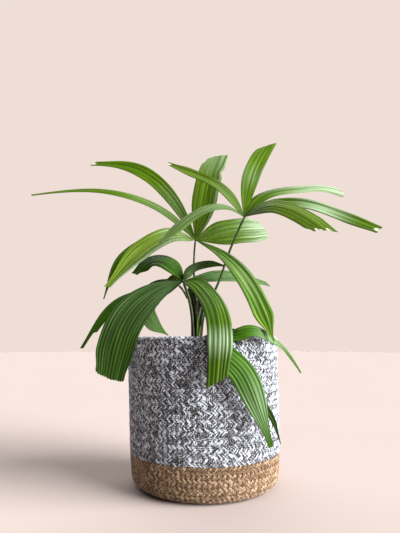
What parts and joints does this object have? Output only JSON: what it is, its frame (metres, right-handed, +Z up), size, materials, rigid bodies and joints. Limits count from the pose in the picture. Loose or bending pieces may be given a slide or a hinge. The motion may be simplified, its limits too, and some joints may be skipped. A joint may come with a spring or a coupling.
{
  "type": "lady palm in a woven basket pot",
  "caption": "Young lady palm with fans of pleated leaf blades, potted in a soft braided cotton and jute basket.",
  "frame": {"origin": "centre of the basket's flat underside", "axes": "+Z up, +Y away from the front, +X to the right as seen from the front"},
  "size_m": [0.4291, 0.2593, 0.4499],
  "materials": {
    "bright_leaf": "waxy, half glossy, pleated living leaf",
    "dark_leaf": "waxy, half glossy, pleated living leaf in shade",
    "green_stalk": "smooth green petiole, brown towards the foot",
    "brown_sheath": "dark cane wrapped in matt fibre",
    "grey_cotton": "matt mottled cotton yarn, braided",
    "jute": "matt natural jute yarn, braided",
    "potting_soil": "matt, crumbly, damp potting soil"
  },
  "bodies": {
    "root": {"basket_cotton_wall": "grey_cotton", "basket_jute_band": "jute", "blade_high_left_1": "bright_leaf", "blade_high_left_2": "bright_leaf", "blade_high_left_3": "bright_leaf", "blade_high_left_4": "bright_leaf", "blade_high_left_5": "bright_leaf", "blade_high_left_6": "bright_leaf", "blade_high_left_7": "bright_leaf", "blade_high_right_1": "bright_leaf", "blade_high_right_2": "bright_leaf", "blade_high_right_3": "bright_leaf", "blade_high_right_4": "bright_leaf", "blade_high_right_5": "bright_leaf", "blade_high_right_6": "bright_leaf", "blade_low_back_1": "dark_leaf", "blade_low_back_2": "dark_leaf", "blade_low_back_3": "dark_leaf", "blade_low_front_1": "dark_leaf", "blade_low_front_2": "dark_leaf", "blade_low_front_3": "dark_leaf", "blade_middle_1": "dark_leaf", "blade_middle_2": "dark_leaf", "blade_middle_3": "dark_leaf", "blade_middle_4": "dark_leaf", "blade_middle_5": "dark_leaf", "blade_middle_6": "dark_leaf", "blade_middle_7": "dark_leaf", "cane": "brown_sheath", "potting_soil": "potting_soil", "stalk_high_left": "green_stalk", "stalk_high_right": "green_stalk", "stalk_low_back": "green_stalk", "stalk_low_front": "green_stalk", "stalk_middle": "green_stalk", "young_spear": "green_stalk"}
  },
  "joints": []
}
